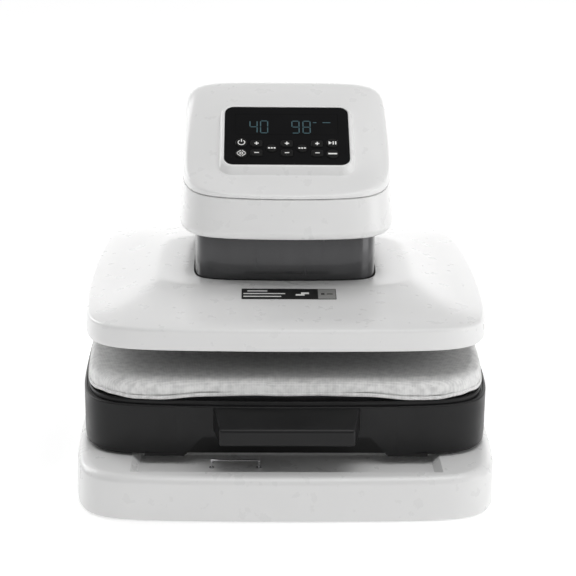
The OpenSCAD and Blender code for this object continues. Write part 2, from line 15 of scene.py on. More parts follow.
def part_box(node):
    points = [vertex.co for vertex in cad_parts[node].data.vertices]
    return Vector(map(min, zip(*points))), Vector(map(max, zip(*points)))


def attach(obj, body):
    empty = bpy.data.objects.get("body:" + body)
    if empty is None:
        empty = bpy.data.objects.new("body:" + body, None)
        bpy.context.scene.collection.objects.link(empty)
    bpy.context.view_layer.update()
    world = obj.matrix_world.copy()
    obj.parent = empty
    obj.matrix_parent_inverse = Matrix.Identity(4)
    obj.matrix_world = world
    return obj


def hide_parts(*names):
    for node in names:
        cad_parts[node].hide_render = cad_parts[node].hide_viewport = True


MM = 0.001
RING = 240                      # points round an outline
PLATEN_Y = -10 * MM             # middle of the platens
BASE_W, BASE_D, BASE_TOP = 422 * MM, 530 * MM, 45 * MM
COVER_HALF = 205 * MM
TRAY_HALF = 204 * MM
TRAY_Z = 48 * MM
RIM_Z = 103 * MM
PAD_HALF_W, PAD_HALF_D = 201.5 * MM, 199 * MM
PAD_Z = 113 * MM
PAD_TOP = 125.8 * MM
HEAD_HALF_W, HEAD_HALF_D, HEAD_Y = 111.5 * MM, 205 * MM, 57 * MM
HEAD_Z = 247 * MM               # underside of the head
SEAM_FRONT_Z = 288 * MM
PANEL_TILT = math.radians(31.9)
PANEL_POS = Vector((0, -75, 337.4)) * MM
PANEL_W, PANEL_H = 125 * MM, 83 * MM
KEY_PITCH, KEY_ROW = 15.2 * MM, -19.3 * MM
ICON_SCALE = 1.25
SQUARENESS = 6                  # how flat the head's dome is before it turns down
RIDGE_DIP = 1.8 * MM            # how far the cover's slopes sink between their ridges
CLOTH_VOXEL, CLOTH_PRESSURE, CLOTH_SWELL = 4 * MM, 4, 1.6 * MM
CLOTH_GAP = 0.3 * MM            # air between the cloth and the foam it wraps
FOLD_ROOM = 0.8 * MM            # height over which the cloth's folds are eased off below its ceiling

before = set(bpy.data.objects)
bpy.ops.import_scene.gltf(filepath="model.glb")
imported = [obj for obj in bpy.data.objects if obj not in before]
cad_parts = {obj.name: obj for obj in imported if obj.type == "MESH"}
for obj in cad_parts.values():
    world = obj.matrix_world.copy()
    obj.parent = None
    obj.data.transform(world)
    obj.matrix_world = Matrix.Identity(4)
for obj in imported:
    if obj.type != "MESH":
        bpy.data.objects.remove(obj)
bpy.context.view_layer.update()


# ---- outlines and skins ----

def directions(n=RING):
    """Angles round an outline, closer together towards its corners."""
    quarter = n // 4
    v = 2 * np.arange(quarter) / quarter - 1
    first = 45 + 45 * v * (0.42 + 0.58 * v * v)
    return np.radians(np.concatenate([first + 90 * q for q in range(4)]))


def bowed(a, b, bow, p, n=RING):
    """Rounded rectangle of half sizes a and b with gently bowed sides; p sets how square it is."""
    t = directions(n)
    r = ((abs(np.cos(t)) / a) ** p + (abs(np.sin(t)) / b) ** p) ** (-1 / p)
    x, y = r * np.cos(t), r * np.sin(t)
    in_x, in_y = bow[0] * (y / b) ** 2, bow[1] * (x / a) ** 2
    return np.stack([x - np.tanh(6 * x / a) * in_x, y - np.tanh(6 * y / b) * in_y], 1)


def at(outline, cy, z):
    """An outline lifted to z, which may be one height or one for each point."""
    return np.column_stack([outline[:, 0], outline[:, 1] + cy, np.broadcast_to(z, len(outline))])


def filleted(corners, steps=5):
    """A profile of (inset, z, radius) corners with each corner rounded by an arc."""
    points = []
    for i, (x, z, radius) in enumerate(corners):
        here = np.array([x, z])
        if radius == 0 or i in (0, len(corners) - 1):
            points.append(here)
            continue
        back = np.array(corners[i - 1][:2]) - here
        ahead = np.array(corners[i + 1][:2]) - here
        back, ahead = back / np.linalg.norm(back), ahead / np.linalg.norm(ahead)
        half = math.acos(np.clip(np.dot(back, ahead), -1, 1)) / 2
        reach = radius / math.tan(half)
        middle = here + (back + ahead) / np.linalg.norm(back + ahead) * radius / math.sin(half)
        start, end = here + back * reach - middle, here + ahead * reach - middle
        sweep = math.acos(np.clip(np.dot(start, end) / radius ** 2, -1, 1))
        for k in range(steps + 1):
            f = k / steps
            mix = (math.sin((1 - f) * sweep) * start + math.sin(f * sweep) * end) / math.sin(sweep)
            points.append(middle + mix)
    return points


def face_outwards(mesh):
    bm = bmesh.new()
    bm.from_mesh(mesh)
    bmesh.ops.recalc_face_normals(bm, faces=bm.faces)
    bm.to_mesh(mesh)
    bm.free()


def new_object(name, verts, faces, body, material, sharp=30):
    mesh = bpy.data.meshes.new(name)
    mesh.from_pydata([tuple(v) for v in verts], [], faces)
    face_outwards(mesh)
    mesh.shade_smooth()
    mesh.set_sharp_from_angle(angle=math.radians(sharp))
    obj = bpy.data.objects.new(name, mesh)
    bpy.context.scene.collection.objects.link(obj)
    mesh.materials.append(material)
    if body:
        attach(obj, body)
    return obj


def skin(name, rings, body, material, closed=False, sharp=30):
    """Skin through rings of equal length, capped at its ends or joined round when closed."""
    n, count = len(rings[0]), len(rings)
    faces = []
    for k in range(count if closed else count - 1):
        m = (k + 1) % count
        faces += [(k * n + i, k * n + (i + 1) % n, m * n + (i + 1) % n, m * n + i) for i in range(n)]
    if not closed:
        faces.append(tuple(reversed(range(n))))
        faces.append(tuple(range((count - 1) * n, count * n)))
    return new_object(name, np.concatenate(rings), faces, body, material, sharp)


def weighted(obj):
    mod = obj.modifiers.new("even_normals", "WEIGHTED_NORMAL")
    mod.keep_sharp = True
    return obj


def rounded(obj, width, segments=3, angle=30):
    mod = obj.modifiers.new("edge_radius", "BEVEL")
    mod.width = width
    mod.segments = segments
    mod.limit_method = "ANGLE"
    mod.angle_limit = math.radians(angle)
    mod.harden_normals = True
    return obj


def apply_modifiers(obj):
    bpy.context.view_layer.update()
    evaluated = obj.evaluated_get(bpy.context.evaluated_depsgraph_get())
    made = bpy.data.meshes.new_from_object(evaluated)
    obj.modifiers.clear()
    old, obj.data = obj.data, made
    bpy.data.meshes.remove(old)
    return obj


def cut(obj, cutter):
    """Cuts one closed mesh out of another and drops the cutter."""
    mod = obj.modifiers.new("cut", "BOOLEAN")
    mod.operation = "DIFFERENCE"
    mod.solver = "MANIFOLD"
    mod.object = cutter
    apply_modifiers(obj)
    bpy.data.objects.remove(cutter)
    obj.data.shade_smooth()
    obj.data.set_sharp_from_angle(angle=math.radians(30))
    return obj


def join_union(obj, other):
    """Joins two closed meshes into one and drops the second."""
    mod = obj.modifiers.new("join", "BOOLEAN")
    mod.operation = "UNION"
    mod.solver = "MANIFOLD"
    mod.object = other
    apply_modifiers(obj)
    bpy.data.objects.remove(other)
    return obj


def prism(name, outline, axis_from, axis_to, place=None):
    """A closed cutter: an outline in X and Y carried from one height to another, then placed."""
    n = len(outline)
    verts = [Vector((x, y, axis_from)) for x, y in outline] + [Vector((x, y, axis_to)) for x, y in outline]
    if place is not None:
        verts = [place @ v for v in verts]
    faces = [tuple(reversed(range(n))), tuple(range(n, 2 * n))]
    faces += [(i, (i + 1) % n, n + (i + 1) % n, n + i) for i in range(n)]
    mesh = bpy.data.meshes.new(name)
    mesh.from_pydata(verts, [], faces)
    face_outwards(mesh)
    obj = bpy.data.objects.new(name, mesh)
    bpy.context.scene.collection.objects.link(obj)
    return obj


def round_rect(w, h, r, steps=8):
    """Corner arcs of a rectangle centred on the origin, anticlockwise."""
    points = []
    for quarter, (sx, sy) in enumerate([(1, 1), (-1, 1), (-1, -1), (1, -1)]):
        for k in range(steps + 1):
            t = math.pi / 2 * (quarter + k / steps)
            points.append((sx * (w / 2 - r) + r * math.cos(t), sy * (h / 2 - r) + r * math.sin(t)))
    return points


# ---- materials ----

def material(name, color, roughness, metallic=0.0, **sockets):
    mat = bpy.data.materials.new(name)
    mat.use_nodes = True
    shader = mat.node_tree.nodes["Principled BSDF"]
    shader.inputs["Base Color"].default_value = (*color, 1)
    shader.inputs["Roughness"].default_value = roughness
    shader.inputs["Metallic"].default_value = metallic
    for key, value in sockets.items():
        shader.inputs[key.replace("_", " ")].default_value = value
    return mat


def node(mat, kind, **inputs):
    made = mat.node_tree.nodes.new(kind)
    for key, value in inputs.items():
        made.inputs[key.replace("_", " ")].default_value = value
    return made


def link(mat, out, into):
    mat.node_tree.links.new(out, into)


def place_coords(mat, scale=(1, 1, 1)):
    """Object coordinates, which are the frame's own metres."""
    coords = node(mat, "ShaderNodeTexCoord")
    mapping = node(mat, "ShaderNodeMapping")
    mapping.inputs["Scale"].default_value = scale
    link(mat, coords.outputs["Object"], mapping.inputs["Vector"])
    return mapping.outputs["Vector"]


def noise(mat, scale, detail=3.0, stretch=(1, 1, 1)):
    made = node(mat, "ShaderNodeTexNoise", Scale=scale, Detail=detail)
    link(mat, place_coords(mat, stretch), made.inputs["Vector"])
    return made.outputs["Fac"]


def ramp(mat, value, low, high, out_low, out_high):
    made = node(mat, "ShaderNodeMapRange")
    made.inputs["From Min"].default_value = low
    made.inputs["From Max"].default_value = high
    made.inputs["To Min"].default_value = out_low
    made.inputs["To Max"].default_value = out_high
    link(mat, value, made.inputs["Value"])
    return made.outputs["Result"]


def vary_roughness(mat, value, low, high):
    shader = mat.node_tree.nodes["Principled BSDF"]
    link(mat, ramp(mat, value, 0.3, 0.7, low, high), shader.inputs["Roughness"])


def vary_color(mat, value, dark, light, low=0.3, high=0.7):
    shader = mat.node_tree.nodes["Principled BSDF"]
    made = node(mat, "ShaderNodeValToRGB")
    made.color_ramp.elements[0].position = low
    made.color_ramp.elements[0].color = (*dark, 1)
    made.color_ramp.elements[1].position = high
    made.color_ramp.elements[1].color = (*light, 1)
    link(mat, value, made.inputs["Fac"])
    link(mat, made.outputs["Color"], shader.inputs["Base Color"])


def bump(mat, height, strength, distance, onto=None):
    """Adds relief; a second call passes the first one's node to stack them."""
    shader = mat.node_tree.nodes["Principled BSDF"]
    made = node(mat, "ShaderNodeBump", Strength=strength, Distance=distance)
    link(mat, height, made.inputs["Height"])
    if onto is not None:
        link(mat, onto.outputs["Normal"], made.inputs["Normal"])
    link(mat, made.outputs["Normal"], shader.inputs["Normal"])
    return made


def moulded(name, dark, light, rough, grain, coat=0.0):
    """Moulded plastic: slight colour drift, fine surface grain and uneven gloss."""
    mat = material(name, light, rough[0], Coat_Weight=coat, Coat_Roughness=0.14)
    vary_color(mat, noise(mat, 9, 4), dark, light)
    vary_roughness(mat, noise(mat, 60, 5), *rough)
    waviness = bump(mat, noise(mat, 12, 1), 0.02, 0.3 * MM)
    bump(mat, noise(mat, grain, 2), 0.02, 0.02 * MM, waviness)
    return mat


def metal(name, dark, light, rough, stretch=(1, 1, 1), grain=500, strength=0.1):
    """Bare or plated metal with fine directional scratches."""
    mat = material(name, light, rough[0], 1.0)
    vary_color(mat, noise(mat, 14, 4), dark, light)
    brushed = noise(mat, grain, 4, stretch)
    vary_roughness(mat, brushed, *rough)
    bump(mat, brushed, strength, 0.02 * MM)
    return mat


def flecked(name, dark, light, rough, scale, depth=0.1):
    """Matt board, rubber or mat with a visible speckle."""
    mat = material(name, light, rough)
    grain = noise(mat, scale, 6)
    vary_color(mat, grain, dark, light)
    bump(mat, grain, 0.5, depth * MM)
    return mat


WHITE = moulded("white_gloss_plastic", (0.838, 0.838, 0.834), (0.843, 0.843, 0.839), (0.27, 0.29), 900, 0.25)
CHARCOAL = moulded("charcoal_satin_plastic", (0.009, 0.009, 0.0095), (0.012, 0.012, 0.0125),
                   (0.32, 0.42), 1500)
BLACK = moulded("black_matt_plastic", (0.01, 0.01, 0.01), (0.014, 0.014, 0.014), (0.45, 0.6), 1500)
PANEL_BLACK = moulded("panel_black", (0.006, 0.006, 0.0065), (0.008, 0.008, 0.0085), (0.2, 0.28), 1800)
KEY_BLACK = moulded("key_black", (0.006, 0.006, 0.006), (0.009, 0.009, 0.009), (0.4, 0.5), 1800)
for dark_plastic, level in ((CHARCOAL, 0.28), (BLACK, 0.35), (PANEL_BLACK, 0.06), (KEY_BLACK, 0.12)):
    dark_plastic.node_tree.nodes["Principled BSDF"].inputs["Specular IOR Level"].default_value = level
RED = moulded("red_gloss_plastic", (0.45, 0.03, 0.02), (0.55, 0.04, 0.03), (0.2, 0.3), 1200)
NYLON = moulded("nylon", (0.7, 0.67, 0.58), (0.78, 0.75, 0.66), (0.4, 0.5), 900)
FRAME_STEEL = metal("coated_steel", (0.09, 0.095, 0.1), (0.13, 0.135, 0.14), (0.45, 0.6), grain=900)
ZINC = metal("zinc_plate", (0.5, 0.51, 0.53), (0.66, 0.67, 0.69), (0.3, 0.45), (1, 0.1, 1))
BRIGHT = metal("ground_steel", (0.6, 0.6, 0.61), (0.72, 0.72, 0.73), (0.16, 0.28), (1, 1, 6))
BRONZE = metal("bronze", (0.45, 0.28, 0.1), (0.6, 0.4, 0.17), (0.3, 0.42))
MOTOR = metal("motor_can", (0.1, 0.105, 0.11), (0.16, 0.165, 0.17), (0.35, 0.45))
COATED = metal("nonstick_coat", (0.035, 0.035, 0.036), (0.05, 0.05, 0.052), (0.4, 0.5), grain=1200)
RUBBER = flecked("rubber", (0.012, 0.012, 0.012), (0.025, 0.025, 0.025), 0.8, 1400)
BOARD = flecked("pressed_board", (0.03, 0.03, 0.032), (0.05, 0.05, 0.053), 0.75, 700)
SILICONE = flecked("silicone_foam", (0.35, 0.35, 0.345), (0.45, 0.45, 0.44), 0.7, 900)
MAT = flecked("glass_fibre_mat", (0.55, 0.5, 0.4), (0.75, 0.7, 0.58), 0.85, 500, 0.3)
BOARD_GREEN = flecked("solder_mask", (0.01, 0.09, 0.04), (0.015, 0.13, 0.06), 0.35, 260, 0.02)


def neck_metal():
    mat = material("gunmetal_lacquer", (0.06, 0.06, 0.062), 0.24, 0.75, Coat_Weight=0.5, Coat_Roughness=0.06)
    vary_color(mat, noise(mat, 7, 3), (0.05, 0.05, 0.052), (0.065, 0.065, 0.068))
    vary_roughness(mat, noise(mat, 90, 4, (1, 1, 0.15)), 0.2, 0.28)
    bump(mat, noise(mat, 800, 2, (1, 1, 0.2)), 0.08, 0.02 * MM)
    return mat


def cloth_material():
    """Plain woven cotton: two crossed yarn waves and a little colour drift."""
    mat = material("woven_cotton", (0.7, 0.7, 0.69), 0.9, Sheen_Weight=0.25, Sheen_Roughness=0.6)
    heights = []
    for axis in ("X", "Y"):
        wave = node(mat, "ShaderNodeTexWave", Scale=200, Distortion=0.5, Detail=1.0)
        wave.bands_direction = axis
        link(mat, place_coords(mat), wave.inputs["Vector"])
        heights.append(wave.outputs["Fac"])
    weave = node(mat, "ShaderNodeMath")
    weave.operation = "ADD"
    link(mat, heights[0], weave.inputs[0])
    link(mat, heights[1], weave.inputs[1])
    drift = node(mat, "ShaderNodeMath")
    drift.operation = "MULTIPLY_ADD"
    link(mat, weave.outputs[0], drift.inputs[0])
    drift.inputs[1].default_value = 0.16
    link(mat, noise(mat, 160, 5), drift.inputs[2])
    vary_color(mat, drift.outputs[0], (0.7, 0.7, 0.695), (0.92, 0.92, 0.91), 0.45, 0.82)
    slub = bump(mat, noise(mat, 240, 4), 0.5, 0.35 * MM)
    bump(mat, weave.outputs[0], 0.5, 0.25 * MM, slub)
    return mat


def printed(name, color, glow=0.0):
    mat = material(name, color, 0.5)
    vary_color(mat, noise(mat, 400, 3), tuple(c * 0.9 for c in color), color)
    if glow:
        shader = mat.node_tree.nodes["Principled BSDF"]
        shader.inputs["Emission Color"].default_value = (*color, 1)
        shader.inputs["Emission Strength"].default_value = glow
    return mat


NECK = neck_metal()
CLOTH = cloth_material()
# white print on the keys and the label, plus a faint painted glow that makes the print look brighter than its
# colour alone
ICON_INK_WITH_PAINTED_GLOW = printed("icon_ink_painted_glow", (0.86, 0.86, 0.84), 0.12)
GREY_INK = printed("label_grey", (0.33, 0.33, 0.32))
LABEL_BLACK = printed("label_black", (0.015, 0.015, 0.015))
DIGIT = printed("digit_segments", (0.025, 0.07, 0.085), 0.35)


# ---- base ----

def base_shell():
    def ring(point):
        return at(bowed(BASE_W / 2 - point[0], BASE_D / 2 - point[0], (5.1 * MM, 5.8 * MM), 9.9), 0, point[1])

    profile = filleted([
        (10 * MM, BASE_TOP - 3 * MM, 0), (3 * MM, BASE_TOP - 9 * MM, 0), (4 * MM, 1 * MM, 0),
        (0.8 * MM, 1 * MM, 0), (0, 2.5 * MM, 0), (0.2 * MM, 20 * MM, 0),
        (1.2 * MM, BASE_TOP, 8 * MM), (14 * MM, BASE_TOP, 0), (40 * MM, BASE_TOP, 0)], 8)
    shell = skin("base_shell_skin", [ring(p) for p in profile], "frame", WHITE)
    block = prism("recess_floor", [(-158 * MM, -250 * MM), (158 * MM, -250 * MM), (158 * MM, -181 * MM),
                                   (-158 * MM, -181 * MM)], 33 * MM, 43.5 * MM)
    join_union(shell, block)
    cut(shell, recess_cutter())
    slot_hole = prism("spine_slot", [(-99 * MM, 214 * MM), (99 * MM, 214 * MM), (99 * MM, 250 * MM),
                                     (-99 * MM, 250 * MM)], 30 * MM, 50 * MM)
    cut(shell, slot_hole)
    rounded(shell, 0.9 * MM, 3, 32)
    weighted(shell)
    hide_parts("base_shell")


def recess_cutter():
    """The shallow tray in front of the drawer, with sloping sides and a sloping front."""
    deep, high = BASE_TOP - 7 * MM, BASE_TOP + 1 * MM
    low = [(-144 * MM, -240 * MM), (144 * MM, -240 * MM), (144 * MM, -187 * MM), (-144 * MM, -187 * MM)]
    top = [(-152 * MM, -247 * MM), (152 * MM, -247 * MM), (152 * MM, -187 * MM), (-152 * MM, -187 * MM)]
    verts = [(*p, deep) for p in low] + [(*p, high) for p in top]
    faces = [(3, 2, 1, 0), (4, 5, 6, 7)] + [(i, (i + 1) % 4, 4 + (i + 1) % 4, 4 + i) for i in range(4)]
    mesh = bpy.data.meshes.new("recess_cutter")
    mesh.from_pydata(verts, [], faces)
    face_outwards(mesh)
    obj = bpy.data.objects.new("recess_cutter", mesh)
    bpy.context.scene.collection.objects.link(obj)
    return obj


# ---- drawer ----

def tray_outline(inset):
    return bowed(TRAY_HALF + 2 * MM - inset, TRAY_HALF - inset, (5.5 * MM, 7.6 * MM), 9.2)


def drawer_tray():
    deck = RIM_Z - 3 * MM
    profile = filleted([
        (7 * MM, deck - 3 * MM, 0), (3 * MM, deck - 8 * MM, 0), (4 * MM, TRAY_Z, 0),
        (1.5 * MM, TRAY_Z, 0), (0.4 * MM, TRAY_Z + 1.5 * MM, 0), (0, TRAY_Z + 8 * MM, 0),
        (0, 98.6 * MM, 1.4 * MM), (2.6 * MM, 99.4 * MM, 0.6 * MM), (2.8 * MM, 98.2 * MM, 0.2 * MM),
        (4.0 * MM, 98.2 * MM, 0.2 * MM), (4.2 * MM, RIM_Z, 1.2 * MM), (7.6 * MM, RIM_Z, 1 * MM),
        (8 * MM, deck, 0.3 * MM), (20 * MM, deck, 0)], 4)
    tray = skin("drawer_tray_skin", [at(tray_outline(p[0]), PLATEN_Y, p[1]) for p in profile],
                "drawer", CHARCOAL)
    front = PLATEN_Y - TRAY_HALF
    half = 108 * MM
    block = prism("notch_floor", [(-half, front + 2 * MM), (half, front + 2 * MM), (half, front + 16 * MM),
                                  (-half, front + 16 * MM)], TRAY_Z + 1 * MM, deck - 1 * MM)
    join_union(tray, block)
    strip = prism("lower_strip", [(-139 * MM, front + 3.5 * MM), (139 * MM, front + 3.5 * MM),
                                  (139 * MM, front + 18 * MM), (-139 * MM, front + 18 * MM)],
                  TRAY_Z - 1.3 * MM, TRAY_Z + 2 * MM)
    join_union(tray, strip)
    notch = [(-101 * MM, TRAY_Z - 2 * MM), (101 * MM, TRAY_Z - 2 * MM),
             (82 * MM, TRAY_Z + 19.5 * MM), (-82 * MM, TRAY_Z + 19.5 * MM)]
    stand = Matrix.Rotation(math.radians(90), 4, "X")
    cut(tray, prism("notch_cutter", notch, -(front + 12 * MM), -(front - 8 * MM), stand))
    for side in (-1, 1):
        box = [(side * 144 * MM, 171 * MM), (side * 162.3 * MM, 171 * MM),
               (side * 162.3 * MM, 194 * MM), (side * 144 * MM, 194 * MM)]
        cut(tray, prism("rail_notch", box, 47 * MM, 91 * MM))
    tray.data.materials.clear()
    tray.data.materials.append(CHARCOAL)
    rounded(tray, 0.8 * MM, 3, 32)
    weighted(tray)
    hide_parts("drawer_tray")


def drawer_ribs():
    """The two ribs that carry the inner rails, under the tray's deck."""
    front = PLATEN_Y - TRAY_HALF
    for side, name in ((-1, "left"), (1, "right")):
        x0, x1 = sorted((side * 162.4 * MM, side * 165.9 * MM))
        rib = prism(f"rail_rib_{name}", [(x0, front + 20 * MM), (x1, front + 20 * MM),
                                         (x1, front + 390 * MM), (x0, front + 390 * MM)],
                    TRAY_Z + 2 * MM, RIM_Z - 5 * MM)
        rib.data.materials.append(CHARCOAL)
        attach(rib, "drawer")
        rounded(rib, 0.4 * MM, 2)


def handle_section(inset, drop):
    """Eight corners of the tapered grip: wide at the drawer, leaning down to its front."""
    front = PLATEN_Y - TRAY_HALF
    half = 72 * MM - inset
    tip = front - 35 * MM + inset
    back = front + 3 * MM
    return [(-half, back, 74 * MM - drop), (half, back, 74 * MM - drop),
            (half - 7 * MM, tip, 72 * MM - drop), (7 * MM - half, tip, 72 * MM - drop),
            (-half, back, 99 * MM - inset), (half, back, 99 * MM - inset),
            (half - 7 * MM, tip, 88.5 * MM - inset), (7 * MM - half, tip, 88.5 * MM - inset)]


def drawer_handle():
    """A hollow grip: the outer form less the finger space, with softly rounded edges."""
    faces = [(0, 1, 2, 3), (4, 7, 6, 5), (0, 3, 7, 4), (3, 2, 6, 7), (2, 1, 5, 6), (1, 0, 4, 5)]
    grip = new_object("drawer_handle_skin", handle_section(0, 0), faces, "drawer", CHARCOAL)
    rounded(grip, 2.6 * MM, 5, 20)
    apply_modifiers(grip)
    inner = new_object("finger_space", handle_section(3.5 * MM, 20 * MM), faces, None, CHARCOAL)
    rounded(inner, 1.5 * MM, 3, 20)
    apply_modifiers(inner)
    cut(grip, inner)
    weighted(grip)
    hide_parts("drawer_handle")


# ---- hot platen ----

def cover_outline(inset):
    return bowed(COVER_HALF - inset, COVER_HALF - inset, (9.7 * MM, 6.6 * MM), 8.9)


def platen_cover():
    """Upright wall, soft shoulder, slopes that sink a little between four ridges, and the flat plateau."""
    wall = [(2.5, 156, 0), (0.3, 156.3, 0.8), (0, 160, 0), (0.6, 172, 0), (1.0, 177.6, 3.5), (22, 180.2, 0)]
    wall = filleted([(x * MM, z * MM, r * MM) for x, z, r in wall], 6)
    rings = [at(cover_outline(x), PLATEN_Y, z) for x, z in wall]
    start = rings[-1]
    edge = at(bowed(134 * MM, 104 * MM, (3 * MM, 3 * MM), 7), PLATEN_Y, 190.4 * MM)
    turn = np.degrees(directions()) % 90 - 45
    between_ridges = 1 - np.exp(-(turn / 13) ** 2)
    for f in (0.12, 0.25, 0.4, 0.55, 0.7, 0.84, 0.94):
        ring = start + (edge - start) * f
        ring[:, 2] -= RIDGE_DIP * 4 * f * (1 - f) * between_ridges
        rings.append(ring)
    for f, z in ((0, 190.15), (0.3, 190.62), (0.6, 190.88), (1, 191)):
        a, b = (134 - 9 * f) * MM, (104 - 7 * f) * MM
        rings.append(at(bowed(a, b, (3 * MM, 3 * MM), 7), PLATEN_Y, z * MM))
    for a, b, z in ((110, 90, 191), (96.5, 82.5, 191), (95.7, 81.7, 190.8), (95.4, 81.4, 190),
                    (95.4, 81.4, 188), (97, 83, 188), (125, 96, 188), (134, 104, 186.4)):
        rings.append(at(bowed(a * MM, b * MM, (1.5 * MM, 5 * MM), 8), PLATEN_Y, z * MM))
    for x, z in ((23, 176.8), (6, 172), (3.5, 159), (12.5, 159), (12.5, 156)):
        rings.append(at(cover_outline(x * MM), PLATEN_Y, z * MM))
    cover = skin("platen_cover_skin", rings, "press", WHITE, closed=True, sharp=40)
    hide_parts("platen_cover")
    return cover


def neck_shroud():
    def ring(inset, z):
        return at(bowed(94 * MM - inset, 80 * MM - inset, (1 * MM, 5 * MM), 8), PLATEN_Y, z)

    rings = [ring(0, 188 * MM), ring(0, 200 * MM), ring(0, 285 * MM), ring(0.6 * MM, 286 * MM),
             ring(2 * MM, 286 * MM), ring(2 * MM, 188 * MM)]
    neck = skin("neck_shroud_skin", rings, "press", NECK, closed=True, sharp=50)
    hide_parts("neck_shroud")


# ---- head ----

def soft_min(a, b, k):
    return (a + b - np.sqrt((a - b) ** 2 + k * k)) / 2


def soft_max(a, b, k):
    return (a + b + np.sqrt((a - b) ** 2 + k * k)) / 2


def back_fall(y, lift):
    return (367 * MM + lift) - 0.2 * (y - PLATEN_Y - 60 * MM)


def seam_z(y):
    rise = SEAM_FRONT_Z + 0.17 * (y - PLATEN_Y + 138 * MM)
    return soft_min(rise, back_fall(y, 0), 6 * MM)


def crest_line(y):
    """Middle line of the domed top: a gentle front, a steeper stretch, then an even fall."""
    d = y - PLATEN_Y + 100 * MM
    foot = SEAM_FRONT_Z + 21.5 * MM
    rise = soft_max(foot + 0.48 * d, foot + 0.68 * d, 4 * MM)
    return soft_min(rise, back_fall(y, 7 * MM), 16 * MM)


def dome_z(y, s):
    low = seam_z(y)
    high = np.maximum(crest_line(y), low)
    return low + (high - low) * (1 - s ** SQUARENESS) ** (1 / SQUARENESS)


def head_outline(inset):
    return bowed(HEAD_HALF_W - inset, HEAD_HALF_D - inset, (1.3 * MM, 10.7 * MM), 7.9)


def seam_ring(inset, lift):
    q = head_outline(inset)
    return at(q, HEAD_Y, seam_z(q[:, 1] + HEAD_Y) + lift)


def head_skirt():
    low = filleted([(24 * MM, HEAD_Z, 0), (1 * MM, HEAD_Z, 10 * MM), (0, HEAD_Z + 24 * MM, 0)], 8)
    rings = [at(head_outline(p[0]), HEAD_Y, p[1]) for p in low[:-1]]
    rings += [seam_ring(4.4 * MM, -2.2 * MM), seam_ring(4.7 * MM, -1.1 * MM), seam_ring(5.6 * MM, -0.5 * MM)]
    rings += [seam_ring(7.6 * MM, -0.5 * MM), at(head_outline(3 * MM), HEAD_Y, HEAD_Z + 12 * MM),
              at(head_outline(9 * MM), HEAD_Y, HEAD_Z + 3 * MM)]
    skirt = skin("head_skirt_skin", rings, "frame", WHITE)
    hole = bowed(96.5 * MM, 82.5 * MM, (1 * MM, 5 * MM), 8, 96) + np.array([0, PLATEN_Y])
    cut(skirt, prism("neck_hole", hole, HEAD_Z - 1 * MM, HEAD_Z + 5 * MM))
    column = [(-99 * MM, 214 * MM), (99 * MM, 214 * MM), (99 * MM, 249 * MM), (-99 * MM, 249 * MM)]
    cut(skirt, prism("column_hole", column, HEAD_Z - 1 * MM, HEAD_Z + 5 * MM))
    weighted(skirt)
    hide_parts("head_skirt")


def dome_ring(inset, s, lift):
    q = head_outline(inset) * s
    y = q[:, 1] + HEAD_Y
    return at(q, HEAD_Y, dome_z(y, s) + lift)


def head_cover():
    inside = [0.06, 0.3, 0.5, 0.7, 0.85, 0.94, 0.985, 1]
    rings = [dome_ring(7.5 * MM, s, (0.3 - (0 if s == 1 else 3 * (1 - s ** 12))) * MM) for s in inside]
    rings += [seam_ring(5.5 * MM, 0.3 * MM), seam_ring(4.8 * MM, 0.8 * MM)]
    outside = [1 - 0.94 * (k / 40) ** 1.9 for k in range(1, 41)]
    rings += [dome_ring(4.5 * MM, s, 1.4 * MM * s ** 20) for s in outside]
    cover = skin("head_cover_skin", rings, "frame", WHITE)
    cut(cover, prism("panel_hole", round_rect(PANEL_W + 0.5 * MM, PANEL_H + 0.5 * MM, 9.3 * MM),
                     -16 * MM, 24 * MM, panel_frame()))
    weighted(cover)
    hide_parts("head_cover")


# ---- control panel ----

def panel_frame():
    return Matrix.Translation(PANEL_POS) @ Matrix.Rotation(PANEL_TILT, 4, "X")


def on_panel(rings):
    """Rings given in the panel's own plane, carried onto the sloping head."""
    place = np.array(panel_frame())
    return [r @ place[:3, :3].T + place[:3, 3] for r in rings]


def panel_ring(grow, radius, height):
    q = np.array(round_rect(PANEL_W + 2 * grow, PANEL_H + 2 * grow, radius, 12))
    return np.column_stack([q, np.full(len(q), height)])


def dome_under(ring, sink):
    """Drops a ring of points onto the head's domed top."""
    y = ring[:, 1]
    rim_y = np.clip(abs((y - HEAD_Y) / (HEAD_HALF_D - 4.5 * MM)), 0, 1)
    rim_x = np.clip(abs(ring[:, 0] / (HEAD_HALF_W - 4.5 * MM)), 0, 1)
    s = (rim_x ** 7.9 + rim_y ** 7.9) ** (1 / 7.9)
    return np.column_stack([ring[:, :2], dome_z(y, np.clip(s, 0, 1)) - sink])


def panel_surround():
    """The raised white frame round the panel, standing on the domed head."""
    flare = on_panel([panel_ring(6.5 * MM, 15 * MM, 0)])[0]
    foot = on_panel([panel_ring(5.2 * MM, 14 * MM, 0)])[0]
    rings = [dome_under(flare, 1.2 * MM), dome_under(foot, -0.2 * MM)]
    rings += on_panel([panel_ring(3.9 * MM, 12.9 * MM, 0.8 * MM), panel_ring(3.4 * MM, 12.4 * MM, 1.7 * MM),
                       panel_ring(2.5 * MM, 11.5 * MM, 2.1 * MM), panel_ring(0.9 * MM, 9.9 * MM, 2.1 * MM),
                       panel_ring(0.35 * MM, 9.35 * MM, 1.7 * MM), panel_ring(0.2 * MM, 9.2 * MM, -6 * MM),
                       panel_ring(2 * MM, 11 * MM, -6 * MM)])
    skin("panel_surround", rings, "frame", WHITE, closed=True, sharp=60)


def flat_mark(name, outline, height, mat, thickness=0.12):
    """A thin raised mark on the panel or a key, drawn as an outline in the panel's plane."""
    mark = prism(name, outline, height, height + thickness * MM, panel_frame())
    mark.data.materials.append(mat)
    return mark


